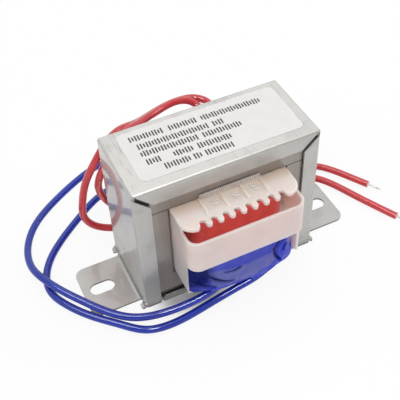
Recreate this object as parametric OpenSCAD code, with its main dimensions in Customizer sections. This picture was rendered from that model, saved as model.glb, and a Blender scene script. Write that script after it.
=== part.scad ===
// Mains transformer for chassis mounting: an interleaved E and I core in a folded steel frame with two
// slotted feet, a two-chamber bobbin with comb-edged top flange, and four free leads.
// Millimetres, +Z up, origin on the standing surface under the middle of the core.
// X runs along the line of the two feet, and the front faces -Y.

/* [Core] */
// Width of an outer leg, from which the scrapless lamination follows: 6 legs wide and 5 high
leg_w = 9.5; // [8.5:0.1:11]
// Depth of the lamination stack
stack_d = 25; // [18:0.5:36]
// Number of packets laid alternately up and down
packets = 5; // [3:2:9]

/* [Frame] */
// Thickness of the frame's steel sheet
sheet_t = 0.65; // [0.5:0.05:1]
// Inner radius of the folds along the flanges
fold_r = 0.4; // [0.2:0.1:1]
// Gap between the core's long corners and the inside of the folds
corner_gap = 0.03; // [0.02:0.01:0.1]
// Gap between the core's face and a folded flange
flange_gap = 0.35; // [0.1:0.05:0.6]
// Height of the top flanges, from the top of the frame
top_flange_h = 5.5; // [4:0.1:7]
// Width of the end flanges, from the end of the frame
end_flange_w = 5.2; // [4:0.1:7]
// Width of the mitre slit on the side of the top flange
mitre_top_w = 0.4; // [0.2:0.1:0.8]
// Width of the mitre slit on the side of the end flange
mitre_end_w = 0.9; // [0.2:0.1:1.2]

/* [Feet] */
// Reach of a foot, from the outside of the frame's end
foot_reach = 15.7; // [14:0.1:20]
// Width of a foot
foot_w = 19.4; // [14:0.1:22]
// Radius of a foot's outer corners
foot_corner_r = 3; // [1:0.1:5]
// Inner radius of the fold at a foot's root
foot_fold_r = 1.2; // [0.8:0.1:2]
// Radius of the relief cut on each side of a foot's root
relief_r = 0.9; // [0.5:0.1:1.2]
// Distance from a foot's outer end to the middle of its slot
slot_inset = 6.3; // [5.5:0.1:7.5]
// Width of a slot
slot_w = 4.4; // [3.2:0.1:5.5]
// Length of a slot, end to end
slot_len = 8; // [6:0.1:9]

/* [Bottom plate] */
// Thickness of the plate under the core
plate_t = 1; // [0.6:0.1:1.6]
// Height of the plate's front and rear lips
lip_h = 2.3; // [1.6:0.1:4]
// Gap between a lip's end and the end flange beside it
lip_gap = 0.8; // [0.3:0.1:2]
// Radius of a lip's upper corners
lip_corner_r = 1; // [0.4:0.1:1.4]

/* [Bobbin] */
// Gap between the bobbin's tube and the centre leg
tube_gap = 0.2; // [0.1:0.05:0.4]
// Thickness of the tube's wall
tube_t = 1; // [0.6:0.1:1.4]
// Gap above the bobbin in the core's windows
window_gap = 0.3; // [0.15:0.05:0.5]
// Gap between the bobbin's sides and the core's outer legs
side_gap = 0.5; // [0.2:0.05:0.8]
// Thickness of the top and bottom flanges
flange_t = 1.3; // [0.8:0.1:1.8]
// Thickness of the flange between the two chambers
divider_t = 1; // [0.6:0.1:1.6]
// Height of the upper chamber, with the divider
upper_h = 12.9; // [10:0.1:15]
// Reach of the top flange's end lobes beyond the core's face
lobe_reach = 10.1; // [9:0.1:12]
// Radius of the top flange's outer corners
lobe_r = 4.5; // [3:0.1:5]
// Number of notches along a comb edge
comb_notches = 8; // [4:1:8]
// Distance from notch to notch
comb_pitch = 3.55; // [3.2:0.05:3.6]
// Width of a notch
notch_w = 1.8; // [1.4:0.1:2.2]
// Depth of a notch
notch_depth = 2.6; // [1.6:0.1:3.2]
// Number of bays between the low ribs on the top flange
bays = 3; // [1:1:4]
// Distance from rib to rib
bay_pitch = 6.4; // [4:0.1:7]
// Height of a rib
rib_h = 0.5; // [0.3:0.1:1]
// Width of a rib
rib_w = 0.8; // [0.5:0.1:1.2]
// Length of a rib
rib_len = 6; // [4:0.1:6.5]
// Height of the collar that stands on the top flange in front of the core
collar_h = 1.7; // [0.8:0.1:2.5]
// Thickness of the collar
collar_t = 0.5; // [0.4:0.1:1]

/* [Covers] */
// Thickness of a cover's wall
cover_t = 0.9; // [0.6:0.1:1.2]
// Reach of a cover's wall beyond the core's face
cover_reach = 13.5; // [12.5:0.1:16]
// Radius of a cover's corners
cover_r = 3.5; // [2:0.1:5]
// Height of the side walls' lower edge above the bottom of the window
cover_lift = 1.4; // [0.4:0.1:4]
// Depth of the lowered rim at a cover's front, below the top flange
rim_drop = 1.4; // [0.5:0.1:3]
// Reach of the lowered rim, back from a cover's front
rim_reach = 6.2; // [4:0.1:8]
// Gap on each side of a lead in its notch in the rear cover
lead_notch_gap = 0.2; // [0.1:0.05:0.4]
// Depth of a lead notch, from the cover's rim to its middle
lead_notch_depth = 2.8; // [2:0.1:5]

/* [Windings] */
// Depth of the taped upper winding beside the tube
upper_build = 3.7; // [2:0.1:5]
// Reach of the taped upper winding beyond the core's face
upper_reach = 8.2; // [6:0.1:9]
// Corner radius of the taped upper winding
upper_r = 5; // [3:0.1:6]
// Thickness of the tape on the upper winding
upper_tape_t = 0.5; // [0.3:0.1:1]
// Gap between the taped lower winding and a cover's side wall
lower_gap = 0.3; // [0.2:0.1:1]
// Reach of the taped lower winding beyond the core's face
lower_reach = 10.1; // [8:0.1:11]
// Corner radius of the taped lower winding
lower_r = 3.5; // [3:0.1:5]
// Thickness of the tape on the lower winding
lower_tape_t = 1.2; // [0.6:0.1:1.6]
// Depth of the tape wrapped under the lower winding, in front of the core and behind it
wrap_h = 2.5; // [1.5:0.1:4]
// Gap between that wrap and the core's face
wrap_gap = 0.3; // [0.2:0.05:0.6]

/* [Label] */
// Distance from the label's short edges to the folds at the frame's ends
label_end_gap = 3; // [1.5:0.1:12]
// Distance from the label's long edges to the folds at the front and rear
label_side_gap = 2.1; // [1.5:0.1:6]
// Thickness of the paper label
label_t = 0.1; // [0.05:0.01:0.3]
// Radius of the label's corners
label_r = 2; // [0.5:0.1:4]

/* [Leads] */
// Outside diameter of a lead
lead_d = 2.4; // [1.6:0.1:2.6]
// Diameter of a lead's tinned end
tin_d = 0.7; // [0.5:0.1:1.5]
// Length of a lead's tinned end
tin_len = 4.5; // [3:0.1:8]

/* [Hidden] */
$fn = 48;

// The core and its two windows
core_w = 6 * leg_w;
core_h = 5 * leg_w;
core_z = plate_t;
packet_d = stack_d / packets;
face_y = stack_d / 2;
window_z = core_z + leg_w;
window_h = 3 * leg_w;

// Outside of the frame: a square corner clears a fold where it keeps this share of the fold's radius
// from both walls
corner_share = 0.3;
core_gap = corner_share * fold_r + corner_gap;
frame_x = core_w / 2 + core_gap + sheet_t;
frame_y = face_y + flange_gap + sheet_t;
frame_z = core_z + core_h + core_gap + sheet_t;
edge_r = fold_r + sheet_t;
foot_fold_h = sheet_t + foot_fold_r;
slot_x = frame_x + foot_reach - slot_inset;
ear_reach = foot_fold_r;
ear_corner_r = 0.8;

// Levels of the bobbin and its chambers
bobbin_top = window_z + window_h - window_gap;
upper_top = bobbin_top - flange_t;
upper_floor = upper_top - upper_h + divider_t;
lower_top = upper_floor - divider_t;
lower_floor = window_z + flange_t;
tube_x = leg_w + tube_gap + tube_t;
tube_y = face_y + tube_gap + tube_t;
side_x = 2 * leg_w - side_gap;
lobe_y = face_y + lobe_reach;
comb_floor_y = lobe_y - notch_depth;
tongue_w = comb_pitch - notch_w;
comb_end_x = (comb_notches - 1) * comb_pitch / 2 + notch_w / 2;
lobe_inner_r = 1.5;
collar_w = bays * bay_pitch;
collar_y = face_y + tube_gap;

// Covers, windings and label
cover_y = face_y + cover_reach;
cover_floor = window_z + cover_lift;
upper_half_w = tube_x + upper_build;
upper_y = face_y + upper_reach;
lower_half_w = side_x - cover_t - lower_gap;
lower_y = face_y + lower_reach;
lead_notch_w = lead_d + 2 * lead_notch_gap;
lead_exit_z = upper_top - lead_notch_depth;
red_exit_x = [13.6, 10];
tape_floor = window_z - wrap_h;
blue_start_z = tape_floor + 1.3;
label_w = 2 * (frame_x - edge_r - label_end_gap);
label_d = 2 * (frame_y - edge_r - label_side_gap);
label_at = [0.7, 0.6];
label_turn = -0.3;
through = 200;

// Routes of the free leads, each with its exit first
red_route_1 = [
    [red_exit_x[0], upper_y, lead_exit_z], [red_exit_x[0], 27.5, lead_exit_z], [13.1, 29.8, 34.7],
    [11.8, 31.7, 34.8], [9.9, 33, 35], [7.6, 33.5, 35.2], [1, 33.2, 35.4], [-5, 31.4, 35.6],
    [-10.5, 28.5, 36.7], [-15.5, 24.7, 39.6], [-20.8, 21.4, 41.7], [-25.9, 18.8, 40.3], [-29.6, 17.5, 36.8],
    [-33.5, 17.7, 29.9], [-36, 18.5, 19.8], [-36, 19, 12.8], [-32.5, 18.8, 7.3], [-25, 16.8, 5],
    [-10, 15.9, 2.2], [12, 16.2, 1.3], [36, 15.4, 1.3], [45.6, 10.2, 1.3], [52.5, -1.5, 1.3], [60.5, -18, 1.3]
];
red_route_2 = [
    [red_exit_x[1], upper_y, lead_exit_z], [red_exit_x[1], 25.5, lead_exit_z], [9.7, 27.2, 35],
    [8.9, 28.7, 35.7], [7.4, 29.9, 36.7], [5.3, 30.4, 37.5], [2.6, 30.4, 38], [-1, 29.7, 38.2],
    [-5, 28.1, 38.5], [-9.5, 25.6, 39.5], [-14, 22.3, 41.2], [-18.4, 19.4, 42.6], [-22.7, 17.2, 41.5],
    [-25.9, 16.1, 38], [-28.9, 16.3, 32.3], [-30.2, 17.5, 25.8], [-29, 18.2, 20], [-23.5, 19.8, 11],
    [-15, 20.8, 4.8], [-5, 21.4, 2], [5, 21.8, 1.4], [22, 22.2, 1.3], [40.5, 19.5, 1.3], [50, 14.5, 1.3],
    [56, 6.5, 1.3], [60.5, -1, 1.3]
];
blue_route_1 = [
    [-7, -21.4, blue_start_z], [-9.5, -21.4, 7.7], [-12.5, -21.4, 6.5], [-17, -21.3, 5.5], [-21.5, -21, 4.9],
    [-27.5, -20, 4.2], [-34, -17.5, 3.5], [-40.5, -12, 3.2], [-46, -5, 3.4], [-51, 2, 3.9], [-54.5, 8.5, 3.9],
    [-56.5, 16, 2.6], [-55.5, 25, 1.5], [-50.5, 34, 1.3], [-41, 42, 1.3], [-30, 48.5, 1.3],
    [-18.5, 52.3, 1.3], [-8, 50.5, 1.3]
];
blue_route_2 = [
    [11.2, -21.4, blue_start_z], [9, -21.5, 8], [4.5, -21.6, 5.6], [-1.5, -21.6, 4], [-8, -21.7, 2.6],
    [-17, -22.5, 1.5], [-26, -23, 1.3], [-32.5, -21.5, 1.3], [-38.5, -16.5, 1.3], [-45, -10, 1.3],
    [-51, -2, 1.3], [-54, 5.5, 1.3], [-52.5, 13.5, 1.3], [-45.5, 22.7, 1.3], [-35.5, 31, 1.3],
    [-25, 37.6, 1.3], [-14, 40, 1.3]
];

// Outlines

// A rectangle with round corners, given by its half sizes
module round_rect(half_x, half_y, r) {
    square([2 * half_x, 2 * (half_y - r)], center = true);
    square([2 * (half_x - r), 2 * half_y], center = true);
    for (x = [-1, 1], y = [-1, 1])
        translate([x * (half_x - r), y * (half_y - r)])
            circle(r);
}

// A rectangle that stands on the axis, with its two upper corners round
module round_top(half_x, height, r) {
    translate([-half_x, -through])
        square([2 * half_x, through + height - r]);
    translate([-half_x + r, 0])
        square([2 * (half_x - r), height]);
    for (x = [-1, 1])
        translate([x * (half_x - r), height - r])
            circle(r);
}

// A round rectangle with a smaller one cut out of it
module round_ring(half_x, half_y, r, wall) {
    difference() {
        round_rect(half_x, half_y, r);
        round_rect(half_x - wall, half_y - wall, r - wall);
    }
}

// Extrudes an outline drawn in X and Z along Y, over the given span of Y
module extrude_y(from_y, to_y) {
    translate([0, to_y, 0])
        rotate([90, 0, 0])
            linear_extrude(to_y - from_y)
                children();
}

// Folded frame

// The space within the frame's faces moved in by a wall: round along every fold
module frame_block(wall) {
    r = edge_r - wall;
    intersection() {
        translate([0, 0, -wall])
            linear_extrude(frame_z)
                round_rect(frame_x - wall, frame_y - wall, r);
        extrude_y(-frame_y, frame_y)
            round_top(frame_x - wall, frame_z - wall, r);
        rotate([0, 0, 90])
            extrude_y(-frame_x, frame_x)
                round_top(frame_y - wall, frame_z - wall, r);
    }
}

// The open part of the front and rear, with the mitred slits at its upper corners
module face_opening() {
    open_x = frame_x - end_flange_w;
    open_z = frame_z - top_flange_h;
    mitre_x = frame_x - top_flange_h;
    mitre_z = frame_z - end_flange_w;
    slit_len = 1.5 * max(top_flange_h, end_flange_w);
    polygon([
        [-open_x, -through], [-open_x, mitre_z], [-mitre_x, open_z],
        [mitre_x, open_z], [open_x, mitre_z], [open_x, -through]
    ]);
    for (side = [0, 1])
        mirror([side, 0])
            translate([frame_x, frame_z])
                rotate(225)
                    translate([0, -mitre_top_w])
                        square([slit_len, mitre_top_w + mitre_end_w]);
}

// A foot, its fold and the two short ears beside it, seen from above
module foot_plan() {
    relief_y = foot_w / 2 + relief_r;
    slot_half = slot_len / 2 - slot_w / 2;
    difference() {
        union() {
            translate([frame_x + foot_reach - core_w / 2, 0])
                round_rect(core_w / 2, foot_w / 2, foot_corner_r);
            translate([frame_x + ear_reach - core_w / 2, 0])
                round_rect(core_w / 2, frame_y, ear_corner_r);
        }
        for (y = [-relief_y, relief_y]) {
            translate([frame_x + relief_r, y])
                circle(relief_r);
            translate([frame_x + relief_r, y - relief_r])
                square([foot_reach, 2 * relief_r]);
        }
        translate([slot_x - slot_half, -slot_w / 2])
            square([2 * slot_half, slot_w]);
        for (x = [-slot_half, slot_half])
            translate([slot_x + x, 0])
                circle(slot_w / 2);
    }
}

// The fold at a foot's root and the flat sheet beyond it, seen from the front
module foot_profile() {
    fold_x = frame_x + foot_fold_r;
    intersection() {
        translate([fold_x, foot_fold_h])
            difference() {
                circle(foot_fold_h);
                circle(foot_fold_r);
            }
        translate([fold_x - foot_fold_h, 0])
            square(foot_fold_h);
    }
    translate([fold_x, 0])
        square([foot_reach - foot_fold_r, sheet_t]);
}

module foot() {
    intersection() {
        linear_extrude(foot_fold_h)
            foot_plan();
        extrude_y(-frame_y, frame_y)
            foot_profile();
    }
}

module frame() {
    inside_y = frame_y - sheet_t;
    color("silver") {
        difference() {
            frame_block(0);
            frame_block(sheet_t);
            extrude_y(-through, -inside_y)
                face_opening();
            extrude_y(inside_y, through)
                face_opening();
            for (side = [0, 1])
                mirror([side, 0, 0])
                    translate([frame_x - sheet_t, -inside_y, -through])
                        cube([2 * sheet_t, 2 * inside_y, through + foot_fold_h]);
        }
        foot();
        mirror([1, 0, 0])
            foot();
    }
}

// Plate under the core, with a lip at the front and at the rear
module bottom_plate() {
    lip_x = frame_x - end_flange_w - lip_gap;
    inside_y = frame_y - sheet_t;
    color("lightgray") {
        linear_extrude(plate_t)
            round_rect(frame_x - sheet_t, inside_y, fold_r);
        for (y = [-frame_y, inside_y])
            intersection() {
                extrude_y(y, y + sheet_t)
                    round_top(lip_x, lip_h, lip_corner_r);
                translate([-lip_x, y, 0])
                    cube([2 * lip_x, sheet_t, lip_h]);
            }
    }
}

// Core

// An E with its back at the bottom
module e_outline() {
    difference() {
        translate([-core_w / 2, 0])
            square([core_w, 4 * leg_w]);
        for (x = [-2 * leg_w, leg_w])
            translate([x, leg_w])
                square([leg_w, window_h]);
    }
}

// An I, laid across the tips of the legs
module i_outline() {
    translate([-core_w / 2, 4 * leg_w])
        square([core_w, leg_w]);
}

// The three legs of an E, which stand in every packet
module legs_outline() {
    for (leg = [[-3, 1], [-1, 2], [2, 1]])
        translate([leg[0] * leg_w, leg_w])
            square([leg[1] * leg_w, window_h]);
}

// The outline in every packet, turned over in every second one
module packet_stack() {
    for (i = [0 : packets - 1]) {
        turned = i % 2;
        low_y = -face_y + i * packet_d;
        translate([0, 0, core_z + turned * core_h])
            mirror([0, 0, turned])
                extrude_y(low_y, low_y + packet_d)
                    children();
    }
}

module e_laminations() {
    color("dimgray") {
        packet_stack()
            e_outline();
        translate([0, 0, core_z])
            extrude_y(-face_y, face_y)
                legs_outline();
    }
}

module i_laminations() {
    color("gray")
        packet_stack()
            i_outline();
}

// Bobbin and covers

// The outside of the tube on the centre leg
module tube_outline() {
    round_rect(tube_x, tube_y, tube_t);
}

// The hole through the tube
module tube_hole() {
    square([2 * (tube_x - tube_t), 2 * (tube_y - tube_t)], center = true);
}

// One comb edge at the front: rounded tongues between round-ended notches, and a lobe at each end
module comb_edge() {
    tongue_r = tongue_w / 2;
    notch_r = notch_w / 2;
    root_y = -comb_floor_y - notch_r;
    lobe_w = side_x - comb_end_x;
    difference() {
        translate([-side_x, root_y])
            square([2 * side_x, comb_floor_y]);
        for (i = [0 : comb_notches - 1])
            translate([(i - (comb_notches - 1) / 2) * comb_pitch, root_y])
                circle(notch_r);
    }
    for (i = [1 : comb_notches - 1])
        translate([(i - comb_notches / 2) * comb_pitch, 0]) {
            translate([-tongue_r, -lobe_y + tongue_r])
                square([tongue_w, notch_depth]);
            translate([0, -lobe_y + tongue_r])
                circle(tongue_r);
        }
    for (x = [-1, 1])
        translate([x * (comb_end_x + lobe_w), -lobe_y + lobe_w])
            round_rect(lobe_w, lobe_w, lobe_inner_r);
}

module top_flange() {
    difference() {
        intersection() {
            round_rect(side_x, lobe_y, lobe_r);
            for (side = [0, 1])
                mirror([0, side])
                    comb_edge();
        }
        tube_hole();
    }
}

// Low ribs side by side on the top flange, and behind them the collar in front of the core
module rib_row() {
    for (i = [0 : bays])
        translate([(i - bays / 2) * bay_pitch - rib_w / 2, -collar_y - rib_len, bobbin_top])
            cube([rib_w, rib_len, rib_h]);
    translate([-collar_w / 2, -collar_y - collar_t, bobbin_top])
        cube([collar_w, collar_t, collar_h]);
}

// The outline inside a cover
module cover_inside() {
    round_rect(side_x - cover_t, cover_y - cover_t, cover_r - cover_t);
}

// The outline inside the tape of the lower winding
module lower_inside() {
    round_rect(lower_half_w - lower_tape_t, lower_y - lower_tape_t, lower_r - lower_tape_t);
}

// The outline inside the tape of the upper winding
module upper_inside() {
    round_rect(upper_half_w - upper_tape_t, upper_y - upper_tape_t, upper_r - upper_tape_t);
}

module bobbin() {
    color("ivory") {
        translate([0, 0, window_z])
            linear_extrude(bobbin_top - window_z)
                difference() {
                    tube_outline();
                    tube_hole();
                }
        translate([0, 0, upper_top])
            linear_extrude(flange_t)
                top_flange();
        translate([0, 0, lower_top])
            linear_extrude(divider_t)
                difference() {
                    cover_inside();
                    tube_hole();
                }
        translate([0, 0, window_z])
            linear_extrude(flange_t)
                difference() {
                    lower_inside();
                    tube_hole();
                }
        rib_row();
        mirror([0, 1, 0])
            rib_row();
    }
}

// A U-shaped wall round the front half of the upper chamber, with a lowered rim at its front, and with side
// walls down to the lower chamber
module cover() {
    wall_y = cover_y - cover_r;
    difference() {
        intersection() {
            translate([0, 0, lower_top])
                linear_extrude(upper_top - lower_top)
                    round_ring(side_x, cover_y, cover_r, cover_t);
            translate([-through / 2, -through, 0])
                cube(through);
        }
        translate([-through / 2, rim_reach - cover_y - through, upper_top - rim_drop])
            cube(through);
    }
    for (x = [-side_x, side_x - cover_t])
        translate([x, -wall_y, cover_floor])
            cube([cover_t, wall_y, lower_top - cover_floor]);
}

module front_cover() {
    color("ivory")
        cover();
}

// The rear cover has two notches, from which the upper winding's leads come out
module rear_cover() {
    color("ivory")
        difference() {
            mirror([0, 1, 0])
                cover();
            for (x = red_exit_x) {
                translate([x, cover_y + cover_t, lead_exit_z])
                    rotate([90, 0, 0])
                        cylinder(d = lead_notch_w, h = 3 * cover_t);
                translate([x - lead_notch_w / 2, cover_y - 2 * cover_t, lead_exit_z])
                    cube([lead_notch_w, 3 * cover_t, through]);
            }
        }
}

// Windings

module primary_winding() {
    color("peru")
        translate([0, 0, upper_floor])
            linear_extrude(upper_top - upper_floor)
                difference() {
                    upper_inside();
                    tube_outline();
                }
}

module primary_tape() {
    color("firebrick")
        translate([0, 0, upper_floor])
            linear_extrude(upper_top - upper_floor)
                round_ring(upper_half_w, upper_y, upper_r, upper_tape_t);
}

module secondary_winding() {
    color("peru")
        translate([0, 0, lower_floor])
            linear_extrude(lower_top - lower_floor)
                difference() {
                    lower_inside();
                    tube_outline();
                }
}

// The tape of the lower winding, wrapped under it in front of the core and behind it
module secondary_tape() {
    color("mediumblue") {
        translate([0, 0, window_z])
            linear_extrude(lower_top - window_z)
                round_ring(lower_half_w, lower_y, lower_r, lower_tape_t);
        translate([0, 0, tape_floor])
            linear_extrude(wrap_h)
                difference() {
                    round_rect(lower_half_w, lower_y, lower_r);
                    square([through, 2 * (face_y + wrap_gap)], center = true);
                }
    }
}

// Paper label on the top of the frame, bare
module label() {
    color("white")
        translate([label_at[0], label_at[1], frame_z])
            rotate(label_turn)
                linear_extrude(label_t)
                    round_rect(label_w / 2, label_d / 2, label_r);
}

// Leads

function unit(v) = v / norm(v);
function last(list) = list[len(list) - 1];

// Direction of a route at one of its points
function heading(route, i) = unit(route[min(i + 1, len(route) - 1)] - route[max(i - 1, 0)]);

// The part of a vector that is square to a heading, made one long
function square_to(v, ahead) = unit(v - ahead * (v * ahead));

// A side direction at each point of a route, carried along it without twist
function sides(route) = [
    for (i = 0, v = square_to([0.36, 0.48, 0.8], heading(route, 0));
        i < len(route);
        i = i + 1, v = square_to(v, heading(route, min(i, len(route) - 1))))
        v
];

// Corners of the tube round a route, ring after ring
function tube_points(route, r, n) =
    let (side = sides(route))
    [
        for (i = [0 : len(route) - 1], k = [0 : n - 1])
            let (up = cross(heading(route, i), side[i]), a = 360 * k / n)
            route[i] + r * (cos(a) * side[i] + sin(a) * up)
    ];

// Two triangles for each side of the tube between two rings, and a flat face at each end
function tube_faces(rings, n) = [
    for (i = [0 : rings - 2], k = [0 : n - 1])
        let (a = i * n + k, b = i * n + (k + 1) % n)
        each [[a, a + n, b], [b, a + n, b + n]],
    [for (k = [0 : n - 1]) k],
    [for (k = [n - 1 : -1 : 0]) (rings - 1) * n + k]
];

module lead(route) {
    side_count = 8;
    polyhedron(tube_points(route, lead_d / 2, side_count), tube_faces(len(route), side_count));
}

// A lead that comes out of the underside of the lower winding's tape at a slant
module lower_lead(route) {
    difference() {
        lead(route);
        translate([-through / 2, -through / 2, tape_floor])
            cube(through);
    }
}

// The tinned end of a lead, straight on from the end of its route
module tinned_end(route) {
    ahead = heading(route, len(route) - 1);
    translate(last(route))
        rotate([0, acos(ahead.z), atan2(ahead.y, ahead.x)])
            cylinder(d = tin_d, h = tin_len);
}

module red_lead_1() {
    color("crimson")
        lead(red_route_1);
}

module red_lead_2() {
    color("crimson")
        lead(red_route_2);
}

module blue_lead_1() {
    color("navy")
        lower_lead(blue_route_1);
}

module blue_lead_2() {
    color("navy")
        lower_lead(blue_route_2);
}

module red_lead_1_end() {
    color("silver")
        tinned_end(red_route_1);
}

module red_lead_2_end() {
    color("silver")
        tinned_end(red_route_2);
}

module blue_lead_1_end() {
    color("silver")
        tinned_end(blue_route_1);
}

module blue_lead_2_end() {
    color("silver")
        tinned_end(blue_route_2);
}

frame();
bottom_plate();
e_laminations();
i_laminations();
bobbin();
front_cover();
rear_cover();
primary_winding();
primary_tape();
secondary_winding();
secondary_tape();
label();
red_lead_1();
red_lead_2();
blue_lead_1();
blue_lead_2();
red_lead_1_end();
red_lead_2_end();
blue_lead_1_end();
blue_lead_2_end();
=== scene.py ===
"""Looks of a mains transformer: a folded steel frame, a moulded bobbin, taped windings and loose leads.

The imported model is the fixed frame. Lengths are in millimetres and become metres with MM. Only the lamps'
places and sizes, the floor's reach and the leads' lengths are in metres, and noise scales are per metre.
"""

import bmesh
import bpy
import numpy as np
from mathutils import Matrix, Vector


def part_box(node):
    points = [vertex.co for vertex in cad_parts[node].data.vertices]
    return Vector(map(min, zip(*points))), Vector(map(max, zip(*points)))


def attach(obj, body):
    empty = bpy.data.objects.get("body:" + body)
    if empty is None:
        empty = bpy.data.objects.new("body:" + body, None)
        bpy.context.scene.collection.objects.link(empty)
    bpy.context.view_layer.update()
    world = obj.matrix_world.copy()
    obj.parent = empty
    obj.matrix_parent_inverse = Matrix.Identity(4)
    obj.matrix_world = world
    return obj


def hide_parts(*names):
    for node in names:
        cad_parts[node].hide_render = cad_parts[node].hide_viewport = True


MM = 0.001
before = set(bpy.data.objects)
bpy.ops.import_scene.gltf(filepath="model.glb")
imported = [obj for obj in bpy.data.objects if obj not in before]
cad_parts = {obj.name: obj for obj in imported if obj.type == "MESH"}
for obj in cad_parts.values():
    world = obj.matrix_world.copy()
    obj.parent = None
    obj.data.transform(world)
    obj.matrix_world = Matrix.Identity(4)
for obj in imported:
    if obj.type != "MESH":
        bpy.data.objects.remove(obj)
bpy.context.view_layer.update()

# Sizes that the pieces share with the solids

LEAD_DIAMETER = 2.4
TIN_DIAMETER = 0.7
TIN_LENGTH = 4.5
CORE_Y = 12.5
WINDOW_Z = 10.5
JOINT_Z = 39.0
SHEET_T = 0.65
FRAME_X = 29.3
FRAME_TOP = 49.3
END_FLANGE_W = 5.2
TOP_FLANGE_H = 5.5
FLANGE_X = FRAME_X - END_FLANGE_W
FLANGE_Z = FRAME_TOP - TOP_FLANGE_H
LIP_TOP = 2.3
BOBBIN_TOP = 38.7
BAYS = 3
BAY_PITCH = 6.4
BAY_HALF_W = BAYS / 2 * BAY_PITCH
TUBE_GAP = 0.2
COLLAR_T = 0.5
COLLAR_H = 1.7
RIB_LENGTH = 6.0
COLLAR_BACK_Y = CORE_Y + TUBE_GAP
COLLAR_Y = COLLAR_BACK_Y + COLLAR_T
COLLAR_TOP = BOBBIN_TOP + COLLAR_H
BAY_END_Y = COLLAR_BACK_Y + RIB_LENGTH
UPPER_TAPE_R = 5.0
LOWER_TAPE_R = 3.5

# Sizes of the finish and of the painted shade

SERRATION_PITCH = 0.55
# Heights between which the sheet's painted shade towards its feet fades out
FOOT_SHADE_LOW = 0.8
FOOT_SHADE_HIGH = 3.0
# Where the nylon's painted shade near the core starts and ends, measured from the collar
CORE_SHADE_START = 0.2
CORE_SHADE_END = 4.4

# Routes of the leads

RED_ROUTE_1 = [
    (13.6, 20.7, 34.6), (13.6, 27.5, 34.6), (13.1, 29.8, 34.7), (11.8, 31.7, 34.8), (9.9, 33, 35),
    (7.6, 33.5, 35.2), (1, 33.2, 35.4), (-5, 31.4, 35.6), (-10.5, 28.5, 36.7), (-15.5, 24.7, 39.6),
    (-20.8, 21.4, 41.7), (-25.9, 18.8, 40.3), (-29.6, 17.5, 36.8), (-33.5, 17.7, 29.9), (-36, 18.5, 19.8),
    (-36, 19, 12.8), (-32.5, 18.8, 7.3), (-25, 16.8, 5), (-10, 15.9, 2.2), (12, 16.2, 1.3),
    (36, 15.4, 1.3), (45.6, 10.2, 1.3), (52.5, -1.5, 1.3), (60.5, -18, 1.3),
]
RED_ROUTE_2 = [
    (10, 20.7, 34.6), (10, 25.5, 34.6), (9.7, 27.2, 35), (8.9, 28.7, 35.7), (7.4, 29.9, 36.7),
    (5.3, 30.4, 37.5), (2.6, 30.4, 38), (-1, 29.7, 38.2), (-5, 28.1, 38.5), (-9.5, 25.6, 39.5),
    (-14, 22.3, 41.2), (-18.4, 19.4, 42.6), (-22.7, 17.2, 41.5), (-25.9, 16.1, 38), (-28.9, 16.3, 32.3),
    (-30.2, 17.5, 25.8), (-29, 18.2, 20), (-23.5, 19.8, 11), (-15, 20.8, 4.8), (-5, 21.4, 2),
    (5, 21.8, 1.4), (22, 22.2, 1.3), (40.5, 19.5, 1.3), (50, 14.5, 1.3), (56, 6.5, 1.3), (60.5, -1, 1.3),
]
BLUE_ROUTE_1 = [
    (-7, -21.4, 9.3), (-9.5, -21.4, 7.7), (-12.5, -21.4, 6.5), (-17, -21.3, 5.5), (-21.5, -21, 4.9),
    (-27.5, -20, 4.2), (-34, -17.5, 3.5), (-40.5, -12, 3.2), (-46, -5, 3.4), (-51, 2, 3.9),
    (-54.5, 8.5, 3.9), (-56.5, 16, 2.6), (-55.5, 25, 1.5), (-50.5, 34, 1.3), (-41, 42, 1.3),
    (-30, 48.5, 1.3), (-18.5, 52.3, 1.3), (-8, 50.5, 1.3),
]
BLUE_ROUTE_2 = [
    (11.2, -21.4, 9.3), (9, -21.5, 8), (4.5, -21.6, 5.6), (-1.5, -21.6, 4), (-8, -21.7, 2.6),
    (-17, -22.5, 1.5), (-26, -23, 1.3), (-32.5, -21.5, 1.3), (-38.5, -16.5, 1.3), (-45, -10, 1.3),
    (-51, -2, 1.3), (-54, 5.5, 1.3), (-52.5, 13.5, 1.3), (-45.5, 22.7, 1.3), (-35.5, 31, 1.3),
    (-25, 37.6, 1.3), (-14, 40, 1.3),
]


# Objects

def new_object(name, data):
    """An object at the origin, put into the scene."""
    thing = bpy.data.objects.new(name, data)
    bpy.context.scene.collection.objects.link(thing)
    return thing


# Camera

CAMERA_AZIMUTH = -24.52
CAMERA_ELEVATION = 45.42
CAMERA_ROLL = -2.03
CAMERA_PLACE = (-67.43, -146.95, 193.05)
CAMERA_LENS = 68.24
CAMERA_SENSOR = 36.0
CAMERA_SHIFT = (-0.0232, -0.0407)


def add_camera():
    """A camera whose directions follow from azimuth, elevation and a turn about the view."""
    azimuth, elevation, roll = np.radians([CAMERA_AZIMUTH, CAMERA_ELEVATION, CAMERA_ROLL])
    level = np.cos(elevation)
    back = np.array([np.sin(azimuth) * level, -np.cos(azimuth) * level, np.sin(elevation)])
    right = np.array([np.cos(azimuth), np.sin(azimuth), 0.0])
    up = np.cross(back, right)
    place = np.eye(4)
    place[:3, 0] = np.cos(roll) * right + np.sin(roll) * up
    place[:3, 1] = np.cos(roll) * up - np.sin(roll) * right
    place[:3, 2] = back
    place[:3, 3] = np.array(CAMERA_PLACE) * MM
    data = bpy.data.cameras.new("camera")
    data.lens = CAMERA_LENS
    data.sensor_width = CAMERA_SENSOR
    data.shift_x, data.shift_y = CAMERA_SHIFT
    data.clip_start = 10 * MM
    camera = new_object("camera", data)
    camera.matrix_world = Matrix(place.tolist())
    bpy.context.scene.camera = camera


# Nodes and shared effects

def join(tree, socket, value):
    """Links a socket to a value from another node, or sets it to a plain value."""
    if isinstance(value, bpy.types.NodeSocket):
        tree.links.new(value, socket)
    else:
        socket.default_value = value


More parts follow.
